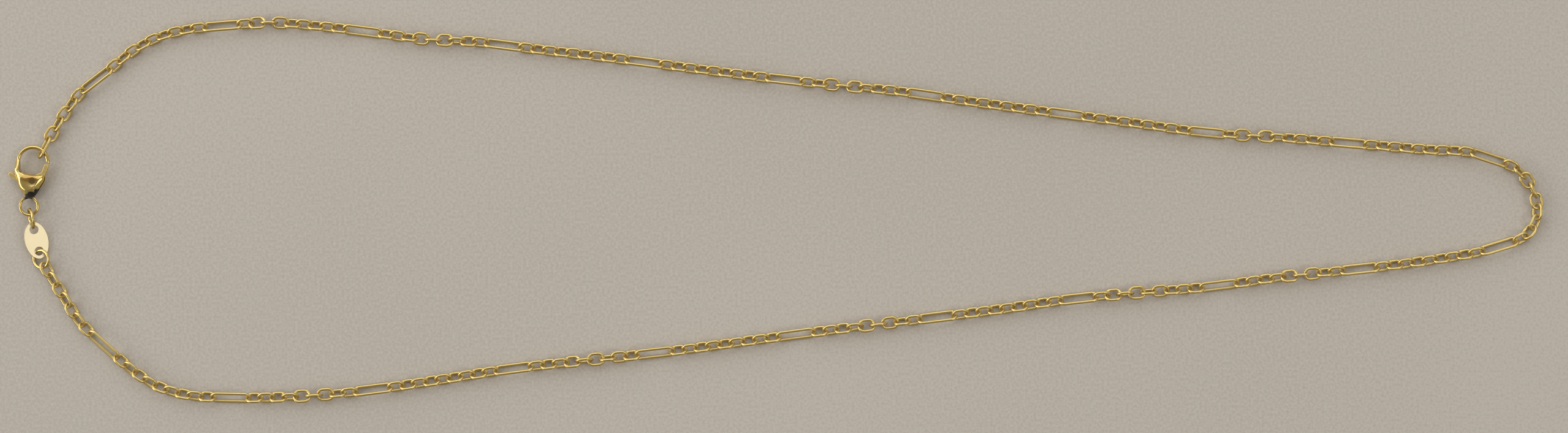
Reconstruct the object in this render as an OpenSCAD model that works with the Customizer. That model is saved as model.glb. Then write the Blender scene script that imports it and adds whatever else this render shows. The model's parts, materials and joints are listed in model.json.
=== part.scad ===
// Figaro neck chain with a lobster clasp, laid on a flat surface in a long closed loop.
// X runs from the clasp to the far bend of the loop, Z is up from the surface, in millimetres.

/* [Chain] */
// Diameter of the wire that the links are bent from
wire_d = 0.45; // [0.36:0.01:0.5]
// Outer width of every link
link_w = 2.15; // [1.9:0.05:2.5]
// Outer length of a short link
short_l = 2.86; // [2.6:0.02:3.4]
// Outer length of a long link
long_l = 6.41; // [5:0.01:8]
// Number of short links between two long ones
short_run = 9; // [3:1:12]
// Number of short links before the first long one
first_run = 5; // [0:1:9]
// Free gap between two linked wires when the chain lies stretched
link_gap = 0.15; // [0.13:0.01:0.3]
// Angle that links lean off their regular quarter turns, in degrees
lean = 3; // [0:0.5:5]

/* [End link] */
// Outer length of the link that the hook holds
end_l = 4; // [3.6:0.1:5]
// Free play of that link on the hook
end_play = 0.45; // [0.15:0.05:0.6]

/* [Clasp] */
// Inner width of the hook's opening
hook_in = 3.9; // [3.6:0.1:4.6]
// Diameter of the hook's wire
hook_wire = 0.64; // [0.5:0.02:0.8]
// Distance from the centre of the hook to the centre of the eye
clasp_reach = 6.8; // [6.4:0.1:7.6]
// Thickness of the body
body_t = 2.2; // [2:0.05:2.4]
// Rounding of the body's edges
body_edge = 0.4; // [0.3:0.05:0.5]
// Distance from the centre of the hook down to the mouth edge of the body
mouth_drop = 1.8; // [1.6:0.05:2]
// Outer diameter of the eye
eye_d = 3.2; // [2.9:0.1:3.6]
// Diameter of the eye's wire
eye_wire = 0.47; // [0.4:0.01:0.6]
// Diameter of the neck between body and eye
neck_d = 1.2; // [0.9:0.05:1.4]

/* [Trigger] */
// Thickness of the trigger
trigger_t = 0.8; // [0.6:0.05:1]
// Distance from the centre of the hook down to the pivot
pivot_drop = 2.9; // [2.7:0.05:3.2]
// Distance of the pivot from the middle line, on the trigger's tip side
pivot_side = 0.3; // [0:0.05:0.5]
// Width of the trigger's arm
arm_w = 0.64; // [0.5:0.02:0.76]
// Reach of the thumb tab from the pivot
tab_reach = 3.9; // [3.4:0.1:4.4]
// Diameter of the rivet
rivet_d = 0.7; // [0.5:0.05:0.9]
// Diameter of the rivet's heads
head_d = 0.95; // [0.95:0.05:1.2]
// Gap between the trigger and what it moves past
trigger_gap = 0.1; // [0.06:0.01:0.15]
// Running clearance of the trigger on the rivet, on the radius
pivot_gap = 0.04; // [0.02:0.01:0.08]

/* [Rings and tag] */
// Outer diameter of the ring between eye and tag
connect_d = 3.4; // [3.2:0.05:3.7]
// Outer diameter of the ring between tag and chain
jump_d = 3.15; // [3:0.05:3.4]
// Diameter of the wire of both rings
ring_wire = 0.45; // [0.36:0.01:0.5]
// Length of the tag
tag_l = 5.8; // [5.4:0.1:6.6]
// Width of the tag
tag_w = 3.6; // [3:0.1:4]
// Thickness of the tag
tag_t = 0.3; // [0.2:0.05:0.35]
// Diameter of the tag's two holes
hole_d = 1.3; // [1.25:0.05:1.4]
// Width of the tag's rim beyond each hole
rim_w = 0.54; // [0.45:0.01:0.6]

/* [Hidden] */

// Round points chosen by hand along the chain, from the clasp over the far bend to the tag
ROUTE = [
  [-109.5, 14.5], [-106.5, 18.5], [-102, 22], [-99, 24.5], [-95.5, 26.5], [-90, 28], [-84.5, 28.5],
  [-78.5, 29], [-70.5, 28.5], [-62, 27.5], [-54.5, 26.5], [-45.5, 26], [-37.5, 25], [-24.5, 23.5],
  [-13, 22], [-1, 20.5], [8, 19.5], [18.5, 18.5], [29, 17], [44, 15], [55.5, 13.5], [67, 12],
  [75.5, 11.5], [88, 10.5], [100, 9.5], [107, 9], [111.5, 7.5], [113.5, 6.5], [115.5, 4], [116.5, 1.5],
  [116.5, -1], [115, -3.5], [112, -5], [108.5, -6], [103, -7], [92, -8.5], [77.5, -10],
  [66.5, -11.5], [54.5, -12.5], [44.5, -13.5], [34, -15], [22, -16.5], [9.5, -18], [-2, -19.5],
  [-17, -21.5], [-31, -23], [-40, -24], [-53, -26], [-63.5, -27.5], [-77.5, -28.5], [-85.5, -28.5],
  [-91, -28], [-95.5, -26.5], [-98.5, -24.5], [-102, -21.5], [-107.5, -16], [-109, -13.5],
  [-111.5, -9.5]
];
// Shift that brings the middle of the whole loop to the origin
loop_shift = [0.15, -0.25];
// Straight steps drawn between two points of the route
route_steps = 16;
// How far the links lie from an even spread, each as: share of the chain, and way along the route
SHIFTS = [
  [0, 0], [0.1, -0.2], [0.3, -0.2], [0.42, 0], [0.48, 0], [0.513, -0.9], [0.65, -0.95],
  [0.9, -0.4], [1, 0]
];

// Quarter turns of the lying chain, each as: start and end as shares of the chain, and its turn
TWISTS = [
  [0, 0.012, 20],
  [0.076, 0.092, 90], [0.126, 0.15, -90], [0.257, 0.279, -90], [0.388, 0.41, -90],
  [0.482, 0.504, -90], [0.573, 0.591, 90], [0.622, 0.648, 90], [0.706, 0.729, 90],
  [0.796, 0.818, 90], [0.886, 0.908, 90]
];
// The quarter turn more that a chain with an even number of links takes near the tag, so that its
// last link stands across the jump ring: its start and end as shares of the chain
EVEN_TURN = [0.93, 0.96];
// Roll of the regular chain, its shift at the first link, and the steps of the small leans
regular_roll = 45;
first_roll = -20;
lean_steps = [137, 61];

// Place of the pivot on the surface, and how far the clasp leans from the Y axis
pivot_at = loop_shift + [-113.9, 4.7];
clasp_lean = 5;
// Directions over the surface from piece to piece, in degrees from the X axis
hook_angle = 50;
end_angle = 62;
eye_angle = -77;
connect_angle = -78;
tag_angle = -78.5;
jump_angle = -76.5;
last_angle = -63;
// Rolls of the pieces at the clasp: how far each is turned about its own length
end_roll = -64;
connect_roll = 69;
tag_roll = -20;
jump_roll = 25;
// Free play of the rings along the pull
connect_play = 0.45;
jump_play = -0.1;
// Free play of the chain's first link in the end link, and of its last one on the jump ring
first_play = 0.06;
last_play = 0.13;
// How far the end link lies below the middle of the hook, and the tag below that of its ring
end_sink = 0.08;
tag_sink = 0.2;

// How far along the chain a link that stands tall lifts the others, and the drop from one to the next
lift_reach = 6;
lift_drop = 0.035;

// Facets round a wire, round a ring and round a rounded edge
wire_fn = 24;
ring_fn = 64;
edge_fn = 32;

function dir(a) = [cos(a), sin(a)];
function mix(a, b, t) = a * (1 - t) + b * t;
function clamp01(t) = max(0, min(1, t));
// A point of the clasp's own frame, with its origin at the pivot, on the surface
function on_clasp(p) = pivot_at + p[0] * dir(-clasp_lean) + p[1] * dir(90 - clasp_lean);

// The clasp's own frame: origin at the pivot, Y towards the hook
hook_c = [-pivot_side, pivot_drop];
eye_c = [-pivot_side, pivot_drop - clasp_reach];
hook_r = (hook_in + hook_wire) / 2;
hook_out = hook_r + hook_wire / 2;
eye_r = (eye_d - eye_wire) / 2;
clasp_z = body_t / 2;
mouth_y = pivot_drop - mouth_drop;
slot_t = trigger_t + 2 * trigger_gap;
// Angles about the hook's centre: the arc's free end before it is cut, and its end in the spine
hook_from = -10;
hook_to = 190;
// Sunk heads of the rivet
head_t = 0.1;
head_sink = 0.06;
seat_gap = 0.01;

// The trigger: top corner of its tip, the elbow in the mouth, and the bent thumb tab
tip_drop = 0.2;
tip = [hook_c[0] + hook_r + 0.4 * arm_w, hook_c[1] - tip_drop];
tip_reach = norm(tip);
elbow = [tip[0] - 1.2 * arm_w, mouth_y + trigger_gap];
hub_r = rivet_d;
tab_r = arm_w / 2;
tab_angles = [178, 168];
tab_bend = 0.65;
tab_middle = tab_bend * (tab_reach - tab_r) * dir(tab_angles[0]);
tab_end = (tab_reach - tab_r) * dir(tab_angles[1]);

// Rings and tag, each hung on the piece before it
connect_r = (connect_d - ring_wire) / 2;
jump_r = (jump_d - ring_wire) / 2;
hole_r = hole_d / 2;
hole_apart = tag_l - hole_d - 2 * rim_w;
connect_z = connect_r * sin(connect_roll) + ring_wire / 2;
jump_z = jump_r * sin(jump_roll) + ring_wire / 2;
tag_top_z = connect_z - tag_sink;
tag_tilt = asin((tag_top_z - jump_z) / hole_apart);
eye_at = on_clasp(eye_c);
connect_at = eye_at
  + (eye_r + connect_r - (eye_wire + ring_wire) / 2 - connect_play) * dir(eye_angle);
top_hole_at = connect_at
  + (connect_r + hole_r - ring_wire / 2 - link_gap) * dir(connect_angle);
low_hole_at = top_hole_at + hole_apart * cos(tag_tilt) * dir(tag_angle);
jump_at = low_hole_at + (jump_r + jump_play) * dir(jump_angle);

// The end link runs from the hook's wire to the chain's first joint
end_near = on_clasp(hook_c) + hook_r * dir(hook_angle)
  - ((hook_wire + wire_d) / 2 + link_gap + end_play) * dir(end_angle);
end_at = end_near + (end_l - wire_d) / 2 * dir(end_angle);
first_joint = end_near + (end_l - wire_d - (wire_d + link_gap) / 2 - first_play) * dir(end_angle);
last_joint = jump_at + (jump_r - (ring_wire + link_gap) / 2 - last_play) * dir(last_angle);

// The route as a smooth curve through its points
KNOTS = concat([first_joint], [for (p = ROUTE) p + loop_shift], [last_joint]);
last_knot = len(KNOTS) - 1;
function span(i) = norm(KNOTS[i + 1] - KNOTS[i]);
function chord(i) = (KNOTS[i + 1] - KNOTS[i]) / span(i);
function tangent(i) =
  i == 0 ? chord(0) :
  i == last_knot ? chord(last_knot - 1) :
  mix(chord(i - 1), chord(i), span(i - 1) / (span(i - 1) + span(i)));
function curve(i, t) =
  (2 * t * t * t - 3 * t * t + 1) * KNOTS[i]
  + (t * t * t - 2 * t * t + t) * span(i) * tangent(i)
  + (3 * t * t - 2 * t * t * t) * KNOTS[i + 1]
  + (t * t * t - t * t) * span(i) * tangent(i + 1);
PATH = [
  for (i = [0 : last_knot - 1], k = [0 : route_steps - (i == last_knot - 1 ? 0 : 1)])
    curve(i, k / route_steps)
];
RUN = [
  for (i = 0, s = 0; i < len(PATH); s = s + (i + 1 < len(PATH) ? norm(PATH[i + 1] - PATH[i]) : 0),
       i = i + 1)
    s
];
route_l = RUN[len(RUN) - 1];
PATH_X = [for (i = [0 : len(PATH) - 1]) [RUN[i], PATH[i][0]]];
PATH_Y = [for (i = [0 : len(PATH) - 1]) [RUN[i], PATH[i][1]]];

// The links laid along the route: as many as fit, and the rest of the length is shared out
short_pitch = short_l - 2 * wire_d - link_gap;
long_pitch = long_l - 2 * wire_d - link_gap;
function is_long(i) = i >= first_run && (i - first_run) % (short_run + 1) == 0;
function longs_before(i) = max(0, floor((i + short_run - first_run) / (short_run + 1)));
function laid_l(i) = i * short_pitch + longs_before(i) * (long_pitch - short_pitch);
links = max([for (i = [0 : ceil(route_l / short_pitch)]) if (laid_l(i) <= route_l) i]);
function laid_share(i) = laid_l(i) / laid_l(links);
function joint_run(i) = laid_share(i) * route_l + lookup(laid_share(i), SHIFTS);
function joint(i) = [lookup(joint_run(i), PATH_X), lookup(joint_run(i), PATH_Y)];
JOINTS = [for (i = [0 : links]) joint(i)];

// Roll of a link about its length: quarter turns by turns, the chain's twists, and a small lean
function total(v, i = 0) = i < len(v) ? v[i] + total(v, i + 1) : 0;
function turned(t, u) = clamp01((u - t[0]) / (t[1] - t[0]));
function twist_at(u) =
  total([for (t = TWISTS) t[2] * turned(t, u)]) + (links % 2 == 0 ? 90 * turned(EVEN_TURN, u) : 0);
function roll(i) =
  (i % 2 == 0 ? regular_roll : -regular_roll) + first_roll
  + twist_at((laid_share(i) + laid_share(i + 1)) / 2)
  + lean * sin(lean_steps[0] * i) * sin(lean_steps[1] * i);
ROLLS = [for (i = [0 : links - 1]) roll(i)];
// Height of a link's middle: it stands on the surface, or hangs between taller neighbours
function rest_z(a) = (link_w - wire_d) / 2 * abs(sin(a)) + wire_d / 2;
function link_z(i) = max([
  for (j = [max(0, i - lift_reach) : min(links - 1, i + lift_reach)])
    rest_z(ROLLS[j]) - lift_drop * abs(i - j)
]);

// A ring lying flat, centred on the origin
module ring(r, wire) {
  rotate_extrude($fn = ring_fn)
    translate([r, 0])
      circle(d = wire, $fn = wire_fn);
}

// The round end of a link, turned about the link's middle
module link_end(l, turn) {
  rotate([0, 0, turn])
    translate([(l - link_w) / 2, 0, 0])
      rotate([0, 0, -90])
        rotate_extrude(angle = 180, $fn = ring_fn)
          translate([(link_w - wire_d) / 2, 0])
            circle(d = wire_d, $fn = wire_fn);
}

// The straight side of a link
module link_side(l, side) {
  translate([-(l - link_w) / 2, side * (link_w - wire_d) / 2, 0])
    rotate([0, 90, 0])
      cylinder(d = wire_d, h = l - link_w, $fn = wire_fn);
}

// A link lying flat along X, centred on the origin
module link(l) {
  link_end(l, 0);
  link_end(l, 180);
  link_side(l, 1);
  link_side(l, -1);
}

// A link of the chain at its place between two joints
module laid_link(i, l) {
  way = JOINTS[i + 1] - JOINTS[i];
  middle = (JOINTS[i] + JOINTS[i + 1]) / 2;
  translate([middle[0], middle[1], link_z(i)])
    rotate([0, 0, atan2(way[1], way[0])])
      rotate([ROLLS[i], 0, 0])
        link(l);
}

module short_links() {
  color("#d9b45b")
    for (i = [0 : links - 1])
      if (!is_long(i))
        laid_link(i, short_l);
}

module long_links() {
  color("#e2bf68")
    for (i = [0 : links - 1])
      if (is_long(i))
        laid_link(i, long_l);
}

module end_link() {
  color("#d9b45b")
    translate([end_at[0], end_at[1], clasp_z - end_sink])
      rotate([0, 0, end_angle])
        rotate([end_roll, 0, 0])
          link(end_l);
}

// Places its children, made in the clasp's own frame, on the surface
module at_clasp() {
  translate([pivot_at[0], pivot_at[1], clasp_z])
    rotate([0, 0, -clasp_lean])
      children();
}

// A disc with rounded edges
module soft_disc(r, t) {
  edge = min(body_edge, r, t / 2);
  rotate_extrude($fn = edge_fn)
    hull()
      for (side = [-1, 1])
        intersection() {
          translate([r - edge, side * (t / 2 - edge)])
            circle(r = edge, $fn = edge_fn);
          translate([0, -t])
            square([r, 2 * t]);
        }
}

// Discs that the body is drawn round. Columns: place across and radius as shares of the hook's
// outer radius, place along as a share of the reach, thickness as a share of the body's
BODY_DISCS = [
  // across, along, radius, thickness
  [-0.885, -0.01, 0.115, 0.29],
  [-0.64, 0.205, 0.39, 0.80],
  [0.35, 0.355, 0.44, 0.84],
  [-0.13, 0.46, 0.63, 1.00],
  [0.00, 0.684, 0.35, 0.60]
];

module body_shell() {
  hull()
    for (d = BODY_DISCS)
      translate([hook_c[0] + d[0] * hook_out, hook_c[1] - d[1] * clasp_reach, 0])
        soft_disc(d[2] * hook_out, d[3] * body_t);
}

// The opening of the hook, down to the body's mouth edge and open on the trigger's side
module hook_opening() {
  corner_r = 0.15 * hook_in;
  linear_extrude(2 * body_t, center = true)
    hull() {
      translate(hook_c)
        circle(d = hook_in, $fn = ring_fn);
      translate([hook_c[0] - hook_in / 2 + corner_r, mouth_y + corner_r])
        circle(r = corner_r, $fn = edge_fn);
      translate([hook_c[0] + hook_out, mouth_y])
        square([hook_wire, mouth_drop]);
    }
}

// The slot between the two cheeks that the trigger moves in
module trigger_slot() {
  slot_end = -0.5 * hook_out;
  translate([-2 * hook_out, slot_end, -slot_t / 2])
    cube([4 * hook_out, mouth_y + trigger_gap - slot_end, slot_t]);
}

// Seat of the rivet: its bore and the two sunk seats of its heads
module rivet_seat() {
  cylinder(d = rivet_d + 2 * seat_gap, h = 2 * body_t, center = true, $fn = ring_fn);
  for (side = [0, 180])
    rotate([side, 0, 0])
      translate([0, 0, body_t / 2 - head_t - head_sink - seat_gap])
        cylinder(d = head_d + 2 * seat_gap, h = body_t, $fn = ring_fn);
}

// The hook, its end cut back to a point that the trigger's tip swings past
module clasp_hook() {
  difference() {
    translate([hook_c[0], hook_c[1], 0])
      rotate([0, 0, hook_from])
        rotate_extrude(angle = hook_to - hook_from, $fn = ring_fn)
          translate([hook_r, 0])
            circle(d = hook_wire, $fn = edge_fn);
    intersection() {
      cylinder(r = tip_reach + trigger_gap, h = 2 * hook_wire, center = true, $fn = 2 * ring_fn);
      translate([0, 0, -hook_wire])
        cube([2 * hook_out, 2 * hook_out, 2 * hook_wire]);
    }
  }
}

module clasp_neck() {
  neck_top = hook_c[1] - BODY_DISCS[len(BODY_DISCS) - 1][1] * clasp_reach;
  neck_end = eye_c[1] + eye_r;
  translate([hook_c[0], neck_end, 0])
    rotate([-90, 0, 0])
      cylinder(d = neck_d, h = neck_top - neck_end, $fn = edge_fn);
}

module clasp_body() {
  color("#d2a74e")
    at_clasp() {
      difference() {
        body_shell();
        hook_opening();
        trigger_slot();
        rivet_seat();
      }
      clasp_hook();
      clasp_neck();
      translate([eye_c[0], eye_c[1], 0])
        ring(eye_r, eye_wire);
    }
}

module clasp_rivet() {
  color("#b98f3e")
    at_clasp() {
      cylinder(d = rivet_d, h = body_t - 2 * head_sink, center = true, $fn = ring_fn);
      for (side = [-1, 1])
        translate([0, 0, side * (body_t / 2 - head_sink - head_t / 2)])
          cylinder(d = head_d, h = head_t, center = true, $fn = ring_fn);
    }
}

module trigger() {
  color("#dcb75f")
    at_clasp()
      difference() {
        linear_extrude(trigger_t, center = true) {
          hull() {
            circle(hub_r, $fn = edge_fn);
            translate(elbow)
              circle(d = arm_w, $fn = edge_fn);
          }
          hull() {
            translate(elbow)
              circle(d = arm_w, $fn = edge_fn);
            translate(tip - [arm_w, arm_w / 4])
              square([arm_w, arm_w / 4]);
          }
          hull() {
            circle(hub_r, $fn = edge_fn);
            translate(tab_middle)
              circle(tab_r, $fn = edge_fn);
          }
          hull() {
            translate(tab_middle)
              circle(tab_r, $fn = edge_fn);
            translate(tab_end)
              circle(tab_r, $fn = edge_fn);
          }
        }
        cylinder(d = rivet_d + 2 * pivot_gap, h = 2 * trigger_t, center = true, $fn = ring_fn);
      }
}

module connecting_ring() {
  color("#d9b45b")
    translate([connect_at[0], connect_at[1], connect_z])
      rotate([0, 0, connect_angle])
        rotate([connect_roll, 0, 0])
          ring(connect_r, ring_wire);
}

module jump_ring() {
  color("#d9b45b")
    translate([jump_at[0], jump_at[1], jump_z])
      rotate([0, 0, jump_angle])
        rotate([jump_roll, 0, 0])
          ring(jump_r, ring_wire);
}

module tag() {
  middle = (top_hole_at + low_hole_at) / 2;
  color("#ecd08a")
    translate([middle[0], middle[1], (tag_top_z + jump_z) / 2])
      rotate([tag_roll, tag_tilt, tag_angle])
        difference() {
          linear_extrude(tag_t, center = true)
            scale([tag_l / 2, tag_w / 2])
              circle(r = 1, $fn = 2 * ring_fn);
          for (side = [-1, 1])
            translate([side * hole_apart / 2, 0, 0])
              cylinder(d = hole_d, h = 2 * tag_t, center = true, $fn = ring_fn);
        }
}

short_links();
long_links();
end_link();
clasp_body();
clasp_rivet();
trigger();
connecting_ring();
tag();
jump_ring();
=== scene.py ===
import json
import math

import bmesh
import bpy
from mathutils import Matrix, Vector
from mathutils.kdtree import KDTree


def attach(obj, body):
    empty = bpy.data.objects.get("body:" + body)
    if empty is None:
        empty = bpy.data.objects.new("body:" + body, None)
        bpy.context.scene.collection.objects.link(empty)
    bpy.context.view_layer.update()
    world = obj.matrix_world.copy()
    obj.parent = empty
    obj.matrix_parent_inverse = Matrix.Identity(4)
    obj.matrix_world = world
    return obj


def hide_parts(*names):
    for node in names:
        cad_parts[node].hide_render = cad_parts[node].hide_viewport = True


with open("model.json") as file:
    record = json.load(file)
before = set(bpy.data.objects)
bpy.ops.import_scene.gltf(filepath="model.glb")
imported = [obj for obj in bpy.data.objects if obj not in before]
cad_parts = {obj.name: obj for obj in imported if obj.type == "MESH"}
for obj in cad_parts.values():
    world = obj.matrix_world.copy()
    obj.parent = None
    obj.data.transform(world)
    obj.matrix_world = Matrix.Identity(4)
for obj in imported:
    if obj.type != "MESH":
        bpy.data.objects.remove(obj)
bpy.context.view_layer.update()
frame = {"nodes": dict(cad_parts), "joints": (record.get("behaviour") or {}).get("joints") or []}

MM = 0.001

# The camera hangs straight over the chain, as the photo was taken
PHOTO_WIDE_PX = 2576
PX_PER_MM = 10.72
LOOK_AT_MM = (1.27, -1.0, 0.9)
LENS_MM = 85
SENSOR_MM = 36
NEAREST_M = 0.01

# Lamps: name, compass direction and height in degrees, width and height in metres, watts, tint
LAMP_FAR_M = 1.2
LAMPS = (
    ("key", 108, 42, (2.2, 1.3), 6.9, (0.985, 0.99, 1.03)),
    ("left", 188, 27, (0.9, 0.6), 3.6, (1.0, 0.99, 0.98)),
    ("right", -19, 56, (0.5, 0.5), 1.6, (1.0, 0.985, 0.97)),
)

# The way towards the dark near side of the room, and the way that the flanks kept free of painted shade face
NEAR_SIDE = (0.0, -0.68, 0.73)
FAR_SIDE = (0.0, 0.50, 0.87)
# The room's glow, from the far side and the horizon (0) to the near side (1), and its strength
ROOM_GLOW = (
    (0.0, (0.50, 0.485, 0.455)),
    (0.30, (0.46, 0.435, 0.40)),
    (0.55, (0.43, 0.395, 0.34)),
    (0.70, (0.41, 0.36, 0.285)),
    (0.88, (0.30, 0.25, 0.18)),
    (1.0, (0.21, 0.17, 0.12)),
)
ROOM_STRENGTH = 0.68

# Colours, as light that the surfaces send back
GOLD = (0.93, 0.735, 0.285)
DEEP_GOLD = (0.86, 0.625, 0.17)
PALE_GOLD = (0.97, 0.87, 0.62)
# Painted shade: the brown laid on flanks that face away from the light
PAINTED_SHADE_BROWN = (0.40, 0.25, 0.055)
# Painted shade: amber in place of the dark room that the clasp's face mirrors below its mouth
PAINTED_SHADE_AMBER = (0.62, 0.38, 0.11)
# Darker gold round the rivet
RIVET_DARKENING = (0.27, 0.17, 0.065)
SOOT = (0.012, 0.0105, 0.0095)
PAPER = (0.735, 0.693, 0.626)
PAPER_DARK = (0.646, 0.607, 0.547)

# Gold's tone: where in the noise deep patches, pale spots and the even gold between dull spots start
# and are full, and how much finer the spots are than the patches
DEEP_PATCHES = (0.42, 0.72)
PALE_SPOTS = (0.45, 0.70)
EVEN_SPOTS = (0.35, 0.60)
SPOTS_FINER = 3.7
# Hairlines: their three directions as shares of the turn, where in the noise a line starts and is full,
# where each set begins in the noise, how much rougher a line is, and how deep
HAIRLINE_TURNS = (1.0, -1.4, 2.7)
HAIRLINE_EDGE = (0.60, 0.70)
HAIRLINE_START = Vector((0.0, 1.9, 4.1))
HAIRLINE_STEP = Vector((7.3, 0.0, 0.0))
HAIRLINE_ROUGH = 0.08
HAIRLINE_DEEP_MM = 0.01

# Paper: grains to a millimetre, clouds to a metre, the grain's share of the tone, where in both the
# paper is darkest and palest, and how deep the grain is and how much of it shows
GRAINS_PER_MM = 2.4
CLOUDS_PER_M = 12.0
GRAIN_SHARE = 0.7
PAPER_TONE = (0.38, 0.62)
GRAIN_DEEP_MM = 0.05
GRAIN_SHOWS = 0.3
FLOOR_HALF_M = 2.0

# The pivot of the trigger, and how far the clasp leans from the Y axis over the surface
PIVOT = Vector(frame["joints"][0]["pos_m"])
CLASP_LEAN = math.radians(5)
# Blotches on the clasp, each in millimetres from the pivot in the clasp's own frame: middle across and
# along, half its width and its length, and how ragged its edge is. The neck, chin and cheek are tarnish;
# below the mouth is painted shade, amber in place of the dark room that the face mirrors; round the rivet
# the gold is painted darker. A blotch is solid up to the edge's first share of its size, and gone at the
# second
STAINS_AND_SHADE = {
    "painted shade below the mouth": (-0.5, 0.35, 1.9, 0.8, 0.1),
    "round the rivet": (0.05, -0.02, 0.8, 0.66, 0.2),
    "neck": (-0.45, -2.55, 1.0, 0.8, 0.35),
    "chin": (0.15, -2.05, 1.0, 0.66, 0.35),
    "cheek": (0.75, -1.65, 0.55, 0.75, 0.4),
}
BLOTCH_EDGE = (0.55, 1.15)
# How glossy the soot at the neck is
SOOT_GLAZE = 0.5

# The clasp's cheeks: half the slot between them, how far in their edges are rounded, what is left of
# their height at the edge, their lowest place, and over what length the rounding grows from there
CHEEK_GAP_MM = 0.5
CHEEK_ROUND_MM = 0.9
CHEEK_EDGE = 0.15
CHEEK_LOW_MM = -2.6
CHEEK_GROWS_MM = 0.4
# A wall's normal points up or down by less than this, and walls closer round the rivet don't count
WALL_UPRIGHT = 0.3
WALL_BEYOND_RIVET_MM = 0.1
# The spine between the cheeks and the hook: its corner, its top, how far past the corner the wear
# reaches, over what lengths it grows across, along and below the top, and how often it is smoothed
SPINE_MM = (-1.3, 0.7)
SPINE_TOP_MM = 4.9
SPINE_PAST_MM = (0.4, 0.5)
SPINE_GROWS_MM = (0.5, 0.6, 1.0)
SPINE_PASSES = 45
# The filed dimple round the rivet: its depth, the rims of its floor and of its slope, and the height
# over the slot from which it is full
DIMPLE_DEEP_MM = 0.06
DIMPLE_MM = (0.5, 1.1)
DIMPLE_FULL_MM = 0.5
# Wear close round the rivet, and how far past the dimple's floor it stays so small
RIVET_WEAR = 0.2
RIVET_KEPT_MM = 0.15

# How hard one pass smooths, and the distance within which a mesh's points are joined
SMOOTHING = 0.5
JOIN_MM = 0.0005
# Rounded rims: faces that lie flatter than the first angle are one, edges sharper than the second are
# rounded, in so many steps
FLAT_ANGLE = math.radians(1)
RIM_ANGLE = math.radians(50)
RIM_STEPS = 3


def add_camera():
    """The camera at the photo's place over the surface."""
    data = bpy.data.cameras.new("photo_camera")
    data.lens = LENS_MM
    data.sensor_width = SENSOR_MM
    data.clip_start = NEAREST_M
    camera = bpy.data.objects.new("photo_camera", data)
    distance_mm = PHOTO_WIDE_PX / PX_PER_MM * LENS_MM / SENSOR_MM
    x, y, z = LOOK_AT_MM
    camera.location = Vector((x, y, z + distance_mm)) * MM
    bpy.context.scene.collection.objects.link(camera)
    bpy.context.scene.camera = camera


def add_softbox(name, towards, elevation, size, power, tint):
    """A soft rectangular lamp that looks at the middle of the loop from a compass direction in degrees."""
    data = bpy.data.lights.new(name, "AREA")
    data.shape = "RECTANGLE"
    data.size, data.size_y = size
    data.energy = power
    data.color = tint
    lamp = bpy.data.objects.new(name, data)
    a, e = math.radians(towards), math.radians(elevation)
    way = Vector((math.cos(a) * math.cos(e), math.sin(a) * math.cos(e), math.sin(e)))
    lamp.location = way * LAMP_FAR_M
    lamp.rotation_euler = way.to_track_quat("Z", "Y").to_euler()
    bpy.context.scene.collection.objects.link(lamp)


def put(tree, kind, inputs=None, **settings):
    """A node with its settings. Each named or numbered input takes a value, or a wire from another node."""
    node = tree.nodes.new(kind)
    for key, value in settings.items():
        setattr(node, key, value)
    for key, value in (inputs or {}).items():
        if isinstance(value, bpy.types.NodeSocket):
            tree.links.new(value, node.inputs[key])
        else:
            node.inputs[key].default_value = value
    return node


def maths(tree, operation, *values):
    """The result of one sum on values or wires."""
    return put(tree, "ShaderNodeMath", dict(enumerate(values)), operation=operation).outputs[0]


def aimed(tree, operation, first, second):
    """The node of one sum on two directions or places."""
    return put(tree, "ShaderNodeVectorMath", {0: first, 1: second}, operation=operation)


def turned_flat(tree, place, angle):
    """A place turned about the upright axis."""
    turn = put(tree, "ShaderNodeVectorRotate", {"Vector": place, "Angle": angle}, rotation_type="Z_AXIS")
    return turn.outputs[0]


def noise(tree, place, scale, detail):
    """The height of a noise at a place."""
    return put(tree, "ShaderNodeTexNoise", {"Vector": place, "Scale": scale, "Detail": detail}).outputs[0]


def ramp(tree, value, *stops):
    """A wire's value turned through a colour ramp. Each stop is a place and a colour or a grey."""
    node = put(tree, "ShaderNodeValToRGB", {0: value})
    elements = node.color_ramp.elements
    while len(elements) < len(stops):
        elements.new(0.5)
    for element, (place, colour) in zip(elements, stops):
        element.position = place
        if isinstance(colour, (int, float)):
            colour = (colour, colour, colour)
        element.color = (*colour, 1)
    return node.outputs[0]


def rising(tree, value, edge):
    """A mask that rises from 0 at the edge's start to 1 at its end."""
    return ramp(tree, value, (edge[0], 0), (edge[1], 1))


def falling(tree, value, edge):
    """A mask that falls from 1 at the edge's start to 0 at its end."""
    return ramp(tree, value, (edge[0], 1), (edge[1], 0))


def blend_colours(tree, share, first, second):
    """One colour over another by a share from 0 to 1."""
    node = put(tree, "ShaderNodeMix", data_type="RGBA", clamp_factor=True)
    for key, value in ((0, share), (6, first), (7, second)):
        if isinstance(value, bpy.types.NodeSocket):
            tree.links.new(value, node.inputs[key])
        else:
            node.inputs[key].default_value = value if key == 0 else (*value, 1)
    return node.outputs[2]


def add_room_light():
    """A pale room, dark on the near side and overhead, where the photographer stands."""
    world = bpy.data.worlds.new("pale_room")
    world.use_nodes = True
    tree = world.node_tree
    way = put(tree, "ShaderNodeTexCoord").outputs["Generated"]
    near = aimed(tree, "DOT_PRODUCT", way, NEAR_SIDE)
    background = tree.nodes["Background"]
    tree.links.new(ramp(tree, near.outputs["Value"], *ROOM_GLOW), background.inputs["Color"])
    background.inputs["Strength"].default_value = ROOM_STRENGTH
    bpy.context.scene.world = world


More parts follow.
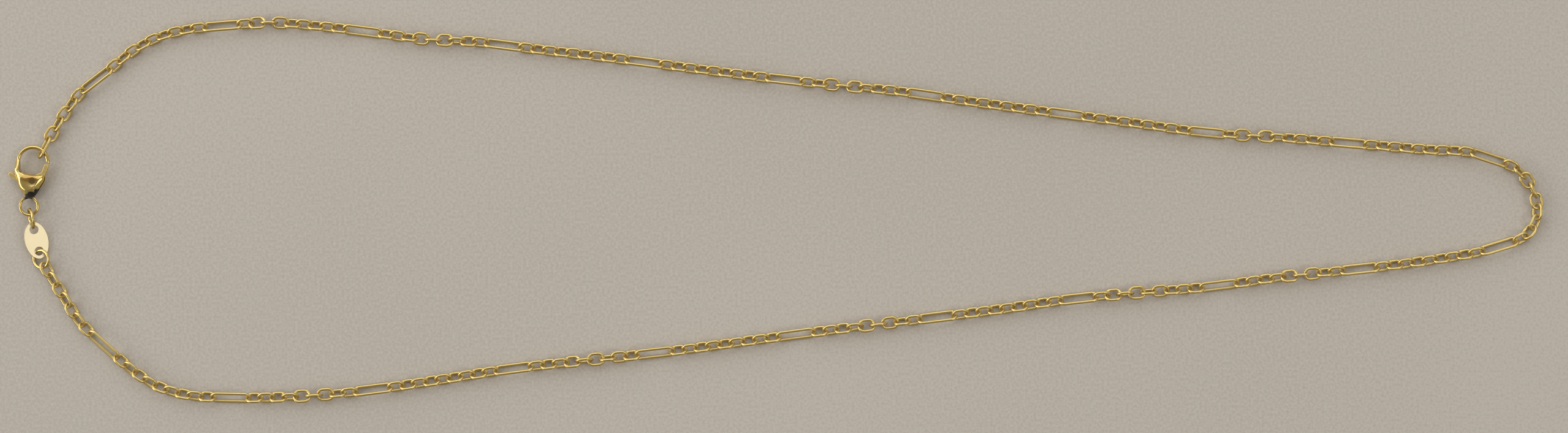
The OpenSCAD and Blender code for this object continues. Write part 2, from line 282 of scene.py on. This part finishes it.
def new_group(name, inputs, outputs):
    """An empty shader node group with number inputs and named outputs, and its two end nodes."""
    tree = bpy.data.node_groups.new(name, "ShaderNodeTree")
    for label, value in inputs:
        socket = tree.interface.new_socket(label, in_out="INPUT", socket_type="NodeSocketFloat")
        socket.default_value = value
    for label, kind in outputs:
        tree.interface.new_socket(label, in_out="OUTPUT", socket_type=kind)
    return tree, tree.nodes.new("NodeGroupInput"), tree.nodes.new("NodeGroupOutput")


def make_gold_tone():
    """Patches of deeper and paler gold. Puts out the colour and a mask of duller spots."""
    tree, given, out = new_group(
        "gold_tone",
        [("Patch MM", 2.0), ("Depth", 0.5), ("Paleness", 0.2)],
        [("Colour", "NodeSocketColor"), ("Dull", "NodeSocketFloat")],
    )
    place = put(tree, "ShaderNodeTexCoord").outputs["Object"]
    scale = maths(tree, "DIVIDE", 1 / MM, given.outputs["Patch MM"])
    patches = noise(tree, place, scale, detail=3.0)
    deep = maths(tree, "MULTIPLY", rising(tree, patches, DEEP_PATCHES), given.outputs["Depth"])
    base = blend_colours(tree, deep, GOLD, DEEP_GOLD)
    spots = noise(tree, place, maths(tree, "MULTIPLY", scale, SPOTS_FINER), detail=2.0)
    pale = maths(tree, "MULTIPLY", rising(tree, spots, PALE_SPOTS), given.outputs["Paleness"])
    tree.links.new(blend_colours(tree, pale, base, PALE_GOLD), out.inputs["Colour"])
    tree.links.new(falling(tree, spots, EVEN_SPOTS), out.inputs["Dull"])
    return tree


def make_hairlines():
    """Fine hairlines from wear. Puts out their height and where they are."""
    tree, given, out = new_group(
        "hairlines",
        [("Length MM", 3.0), ("Width MM", 0.06), ("Turn", 0.6)],
        [("Height", "NodeSocketFloat"), ("Mask", "NodeSocketFloat")],
    )
    place = put(tree, "ShaderNodeTexCoord").outputs["Object"]
    along = maths(tree, "DIVIDE", 1 / MM, given.outputs["Length MM"])
    across = maths(tree, "DIVIDE", 1 / MM, given.outputs["Width MM"])
    stretch = put(tree, "ShaderNodeCombineXYZ", {0: along, 1: across, 2: across}).outputs[0]
    total = None
    for number, turn in enumerate(HAIRLINE_TURNS):
        angle = maths(tree, "MULTIPLY", given.outputs["Turn"], turn)
        drawn = aimed(tree, "MULTIPLY", turned_flat(tree, place, angle), stretch)
        moved = aimed(tree, "ADD", drawn.outputs[0], HAIRLINE_START + number * HAIRLINE_STEP)
        line = rising(tree, noise(tree, moved.outputs[0], scale=1.0, detail=2.0), HAIRLINE_EDGE)
        total = line if total is None else maths(tree, "MAXIMUM", total, line)
    tree.links.new(total, out.inputs["Mask"])
    tree.links.new(maths(tree, "MULTIPLY", total, -1.0), out.inputs["Height"])
    return tree


def make_stain_and_shade():
    """A blotch round a place on the clasp, with a torn edge. Puts out its mask."""
    tree, given, out = new_group(
        "stain_and_shade",
        [("X MM", 0.0), ("Y MM", -2.0), ("Wide MM", 1.0), ("Long MM", 1.0), ("Raggedness", 0.4)],
        [("Mask", "NodeSocketFloat")],
    )
    place = put(tree, "ShaderNodeTexCoord").outputs["Object"]
    local = aimed(tree, "SUBTRACT", place, PIVOT)
    turned = turned_flat(tree, local.outputs[0], CLASP_LEAN)
    split = put(tree, "ShaderNodeSeparateXYZ", {0: turned})
    squares = []
    for number, (middle, half) in enumerate((("X MM", "Wide MM"), ("Y MM", "Long MM"))):
        off = maths(tree, "SUBTRACT", maths(tree, "DIVIDE", split.outputs[number], MM), given.outputs[middle])
        squares.append(maths(tree, "POWER", maths(tree, "DIVIDE", off, given.outputs[half]), 2.0))
    far = maths(tree, "SQRT", maths(tree, "ADD", *squares))
    torn = noise(tree, place, 1 / MM, detail=4.0)
    shift = maths(tree, "MULTIPLY", maths(tree, "SUBTRACT", torn, 0.5), given.outputs["Raggedness"])
    tree.links.new(falling(tree, maths(tree, "ADD", far, shift), BLOTCH_EDGE), out.inputs["Mask"])
    return tree


def make_painted_flank_shade():
    """Painted shade: a mask of the faces that look up and towards the lit far side. The other flanks get
    painted brown.
    """
    tree, given, out = new_group(
        "painted_flank_shade",
        [("From", 0.05), ("To", 0.55)],
        [("Mask", "NodeSocketFloat")],
    )
    normal = put(tree, "ShaderNodeNewGeometry").outputs["Normal"]
    facing = aimed(tree, "DOT_PRODUCT", normal, FAR_SIDE).outputs["Value"]
    mask = put(
        tree, "ShaderNodeMapRange",
        {"Value": facing, "From Min": given.outputs["From"], "From Max": given.outputs["To"]},
        interpolation_type="SMOOTHSTEP",
    )
    tree.links.new(mask.outputs[0], out.inputs["Mask"])
    return tree


GOLD_TONE = make_gold_tone()
PAINTED_FLANK_SHADE = make_painted_flank_shade()
HAIRLINES = make_hairlines()
STAIN_AND_SHADE = make_stain_and_shade()


def use_group(tree, group, **values):
    """Places a shared group. Underscores in the names of its values stand for spaces."""
    node = put(tree, "ShaderNodeGroup", node_tree=group)
    for label, value in values.items():
        node.inputs[label.replace("_", " ")].default_value = value
    return node


def blotch_mask(tree, where):
    """The mask of one of the clasp's listed blotches: its tarnish, its painted shade and its darkening round
    the rivet.
    """
    across, along, wide, long, ragged = STAINS_AND_SHADE[where]
    blotch = use_group(tree, STAIN_AND_SHADE, X_MM=across, Y_MM=along, Wide_MM=wide, Long_MM=long, Raggedness=ragged)
    return blotch.outputs["Mask"]


def gold_material(name, rough, duller, patch_mm, depth, paleness=0.2, bump=0.15, flank_shade=0.0):
    """Worn gold: tone patches, duller spots, hairlines, and a share of painted brown shade on its flanks that
    face away from the light.
    """
    material = bpy.data.materials.new(name)
    material.use_nodes = True
    tree = material.node_tree
    shader = tree.nodes["Principled BSDF"]
    shader.inputs["Metallic"].default_value = 1.0
    tone = use_group(tree, GOLD_TONE, Patch_MM=patch_mm, Depth=depth, Paleness=paleness)
    colour = tone.outputs["Colour"]
    # Painted shade: flanks that face away from the light turn brown
    if flank_shade:
        unshaded = use_group(tree, PAINTED_FLANK_SHADE).outputs["Mask"]
        share = maths(tree, "MULTIPLY", maths(tree, "SUBTRACT", 1.0, unshaded), flank_shade)
        colour = blend_colours(tree, share, colour, PAINTED_SHADE_BROWN)
    tree.links.new(colour, shader.inputs["Base Color"])
    lines = use_group(tree, HAIRLINES)
    spread = maths(tree, "MULTIPLY_ADD", tone.outputs["Dull"], duller, rough)
    scratched = maths(tree, "MULTIPLY_ADD", lines.outputs["Mask"], HAIRLINE_ROUGH, spread)
    tree.links.new(scratched, shader.inputs["Roughness"])
    relief = put(
        tree, "ShaderNodeBump",
        {"Height": lines.outputs["Height"], "Strength": bump, "Distance": HAIRLINE_DEEP_MM * MM},
    )
    tree.links.new(relief.outputs[0], shader.inputs["Normal"])
    return material


def coat(material, mask, colour, rough, metal=None):
    """Lays another surface over a material where the mask says so. Metal stays as it is unless given."""
    tree = material.node_tree
    shader = tree.nodes["Principled BSDF"]
    for socket, value in (("Roughness", rough), ("Metallic", metal)):
        if value is None:
            continue
        under = shader.inputs[socket]
        before = under.links[0].from_socket if under.is_linked else under.default_value
        mixed = put(tree, "ShaderNodeMix", {0: mask, 2: before, 3: value}, data_type="FLOAT")
        tree.links.new(mixed.outputs[0], under)
    under = shader.inputs["Base Color"]
    tree.links.new(blend_colours(tree, mask, under.links[0].from_socket, colour), under)


def clasp_material(name, flank_shade):
    """Polished gold with a share of painted brown shade on its flanks, painted amber shade below the mouth,
    darker round the rivet, and black with tarnish at the neck and low on one cheek.
    """
    material = gold_material(
        name, rough=0.17, duller=0.05, patch_mm=2.2, depth=0.6, paleness=0.1, flank_shade=flank_shade
    )
    tree = material.node_tree
    shader = tree.nodes["Principled BSDF"]
    # Painted shade: amber below the mouth stands in for the dark room that the face mirrors. Round the rivet
    # the gold is painted darker.
    for where, share, colour, rough in (
        ("painted shade below the mouth", 0.8, PAINTED_SHADE_AMBER, 0.19),
        ("round the rivet", 0.9, RIVET_DARKENING, 0.3),
    ):
        coat(material, maths(tree, "MULTIPLY", blotch_mask(tree, where), share), colour, rough)
    neck = blotch_mask(tree, "neck")
    black = neck
    for where in ("chin", "cheek"):
        black = maths(tree, "MAXIMUM", black, blotch_mask(tree, where))
    coat(material, black, SOOT, rough=0.5, metal=0.0)
    tree.links.new(maths(tree, "MULTIPLY", neck, SOOT_GLAZE), shader.inputs["Coat Weight"])
    shader.inputs["Coat IOR"].default_value = 1.8
    shader.inputs["Coat Roughness"].default_value = 0.15
    return material


def paper_material():
    """Matte off-white paper with a fine grain."""
    material = bpy.data.materials.new("matte_paper")
    material.use_nodes = True
    tree = material.node_tree
    shader = tree.nodes["Principled BSDF"]
    shader.inputs["Roughness"].default_value = 0.95
    shader.inputs["Specular IOR Level"].default_value = 0.1
    place = put(tree, "ShaderNodeTexCoord").outputs["Object"]
    grain = noise(tree, place, GRAINS_PER_MM / MM, detail=1.5)
    cloud = noise(tree, place, CLOUDS_PER_M, detail=2.0)
    both = maths(tree, "MULTIPLY_ADD", grain, GRAIN_SHARE, maths(tree, "MULTIPLY", cloud, 1 - GRAIN_SHARE))
    dark, pale = PAPER_TONE
    tree.links.new(ramp(tree, both, (dark, PAPER_DARK), (pale, PAPER)), shader.inputs["Base Color"])
    relief = put(
        tree, "ShaderNodeBump", {"Height": grain, "Strength": GRAIN_SHOWS, "Distance": GRAIN_DEEP_MM * MM}
    )
    tree.links.new(relief.outputs[0], shader.inputs["Normal"])
    return material


def add_floor():
    """The plain pale surface that the chain lies on."""
    mesh = bpy.data.meshes.new("floor")
    shape = bmesh.new()
    bmesh.ops.create_grid(shape, x_segments=8, y_segments=8, size=FLOOR_HALF_M)
    shape.to_mesh(mesh)
    shape.free()
    mesh.materials.append(paper_material())
    floor = bpy.data.objects.new("floor", mesh)
    bpy.context.scene.collection.objects.link(floor)


def dress(node, material):
    """Gives a CAD node its material."""
    shape = frame["nodes"][node]
    if not shape.material_slots:
        shape.data.materials.append(material)
    for slot in shape.material_slots:
        slot.material = material


def apply_modifiers(piece):
    """Turns a piece's modifiers into its mesh."""
    bpy.context.view_layer.update()
    done = bpy.data.meshes.new_from_object(piece.evaluated_get(bpy.context.evaluated_depsgraph_get()))
    piece.modifiers.clear()
    piece.data = done


def clasp_place(point):
    """A point in the clasp's own frame, in millimetres: origin at the pivot, Y towards the hook."""
    local = (point - PIVOT) / MM
    c, s = math.cos(CLASP_LEAN), math.sin(CLASP_LEAN)
    return Vector((local.x * c - local.y * s, local.x * s + local.y * c, local.z))


def grown(way, length):
    """How far something has grown a way into its length: 0 before it, 1 past it."""
    return min(max(way / length, 0), 1)


def pillow_cheeks(mesh):
    """Rounds the clasp body's two faces off towards its outline and mouth, with a dimple at the rivet."""
    places = [clasp_place(v.co) for v in mesh.vertices]
    spine_x, spine_y = SPINE_MM
    dimple_floor, dimple_rim = DIMPLE_MM
    walls = [
        p for p, v in zip(places, mesh.vertices)
        if abs(v.normal.z) < WALL_UPRIGHT and abs(p.z) > CHEEK_GAP_MM and p.y > CHEEK_LOW_MM
        and p.xy.length > dimple_floor + WALL_BEYOND_RIVET_MM and (p.x > spine_x or p.y < spine_y)
    ]
    tree = KDTree(len(walls))
    for number, wall in enumerate(walls):
        tree.insert((wall.x, wall.y, 0), number)
    tree.balance()
    for p, v in zip(places, mesh.vertices):
        height = abs(p.z) - CHEEK_GAP_MM
        if height <= 0 or p.y < CHEEK_LOW_MM:
            continue
        inwards = grown(tree.find((p.x, p.y, 0))[2], CHEEK_ROUND_MM)
        fall = 1 - CHEEK_EDGE - (1 - CHEEK_EDGE) * math.sqrt(1 - (1 - inwards) ** 2)
        drop = height * fall * grown(p.y - CHEEK_LOW_MM, CHEEK_GROWS_MM)
        out = grown(p.xy.length - dimple_floor, dimple_rim - dimple_floor)
        dimple = DIMPLE_DEEP_MM * (1 - out * out * (3 - 2 * out)) * grown(height, DIMPLE_FULL_MM)
        v.co.z -= math.copysign(max(drop, dimple) * MM, p.z)


def wear(piece, label, passes, share=None):
    """Smooths a piece. The share is a rule from a place on the clasp to how far it is smoothed there."""
    smooth = piece.modifiers.new(label, "SMOOTH")
    smooth.factor = SMOOTHING
    smooth.iterations = passes
    if share:
        worn = piece.vertex_groups.new(name=label)
        for vertex in piece.data.vertices:
            worn.add((vertex.index,), share(clasp_place(vertex.co)), "REPLACE")
        smooth.vertex_group = label
    apply_modifiers(piece)
    piece.vertex_groups.clear()


def beside_rivet(place):
    """Little wear close round the rivet, so that its heads stay flush."""
    return RIVET_WEAR if place.xy.length < DIMPLE_MM[0] + RIVET_KEPT_MM else 1.0


def up_spine(place):
    """Wear where the spine joins the cheeks and the hook."""
    (x, y), (past_x, past_y), (over_x, over_y, over_top) = SPINE_MM, SPINE_PAST_MM, SPINE_GROWS_MM
    across = grown(x + past_x - place.x, over_x)
    along = min(grown(place.y - y + past_y, over_y), grown(SPINE_TOP_MM - place.y, over_top))
    return across * along


def copy_of(node, name):
    """A joined-up copy of a CAD node's mesh."""
    shape = bmesh.new()
    shape.from_mesh(frame["nodes"][node].data)
    bmesh.ops.remove_doubles(shape, verts=shape.verts, dist=JOIN_MM * MM)
    mesh = bpy.data.meshes.new(name + "_form")
    shape.to_mesh(mesh)
    shape.free()
    mesh.materials.clear()
    piece = bpy.data.objects.new(name, mesh)
    bpy.context.scene.collection.objects.link(piece)
    return piece


def stand_for(piece, name, node, material, body):
    """Puts a finished copy in its CAD node's place."""
    piece.data.name = name
    piece.data.materials.append(material)
    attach(piece, body)
    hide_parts(node)


def softened(node, name, material, body, voxel_mm, passes, shaped=None):
    """A copy of a CAD node with its edges worn round, which stands for the node."""
    piece = copy_of(node, name)
    remesh = piece.modifiers.new("skin", "REMESH")
    remesh.mode = "VOXEL"
    remesh.voxel_size = voxel_mm * MM
    apply_modifiers(piece)
    if shaped:
        shaped(piece.data)
        wear(piece, "spine", SPINE_PASSES, up_spine)
    wear(piece, "edges", passes, beside_rivet if shaped else None)
    piece.data.shade_smooth()
    stand_for(piece, name, node, material, body)


def bevelled(node, name, material, body, width_mm):
    """A copy of a flat CAD node with rounded rims, which stands for the node."""
    piece = copy_of(node, name)
    flat = piece.modifiers.new("flat", "DECIMATE")
    flat.decimate_type = "DISSOLVE"
    flat.angle_limit = FLAT_ANGLE
    rim = piece.modifiers.new("rim", "BEVEL")
    rim.width = width_mm * MM
    rim.segments = RIM_STEPS
    rim.limit_method = "ANGLE"
    rim.angle_limit = RIM_ANGLE
    rim.harden_normals = True
    apply_modifiers(piece)
    stand_for(piece, name, node, material, body)


add_camera()
for lamp in LAMPS:
    add_softbox(*lamp)
add_room_light()
add_floor()

chain_gold = gold_material(
    "polished_chain_gold", rough=0.31, duller=0.05, patch_mm=2.5, depth=0.4, bump=0.07, flank_shade=0.65
)
ring_gold = gold_material(
    "polished_ring_gold", rough=0.26, duller=0.05, patch_mm=1.5, depth=0.4, bump=0.07, flank_shade=0.75
)
trigger_gold = gold_material("satin_trigger_gold", rough=0.30, duller=0.16, patch_mm=0.5, depth=0.8, bump=0.25)
tag_gold = gold_material("satin_tag_gold", rough=0.28, duller=0.04, patch_mm=2.6, depth=0.1, bump=0.05)
# The tag's gold is paled towards white: partly its own paler satin tone, partly a painted highlight for the
# glare it catches from the lamps
coat(tag_gold, mask=0.85, colour=PALE_GOLD, rough=0.42)

for linked in ("short_links", "long_links", "end_link"):
    dress(linked, chain_gold)
for ring in ("connecting_ring", "jump_ring"):
    dress(ring, ring_gold)
dress("clasp_rivet", clasp_material("filed_rivet_gold", flank_shade=0.0))
clasp_gold = clasp_material("polished_clasp_gold", flank_shade=0.5)
softened(
    "clasp_body", "polished_clasp_body", clasp_gold, "necklace", voxel_mm=0.05, passes=14, shaped=pillow_cheeks
)
softened("trigger", "worn_trigger", trigger_gold, "trigger", voxel_mm=0.035, passes=12)
bevelled("tag", "worn_tag", tag_gold, "necklace", width_mm=0.06)

bpy.context.scene.view_settings.view_transform = "Standard"
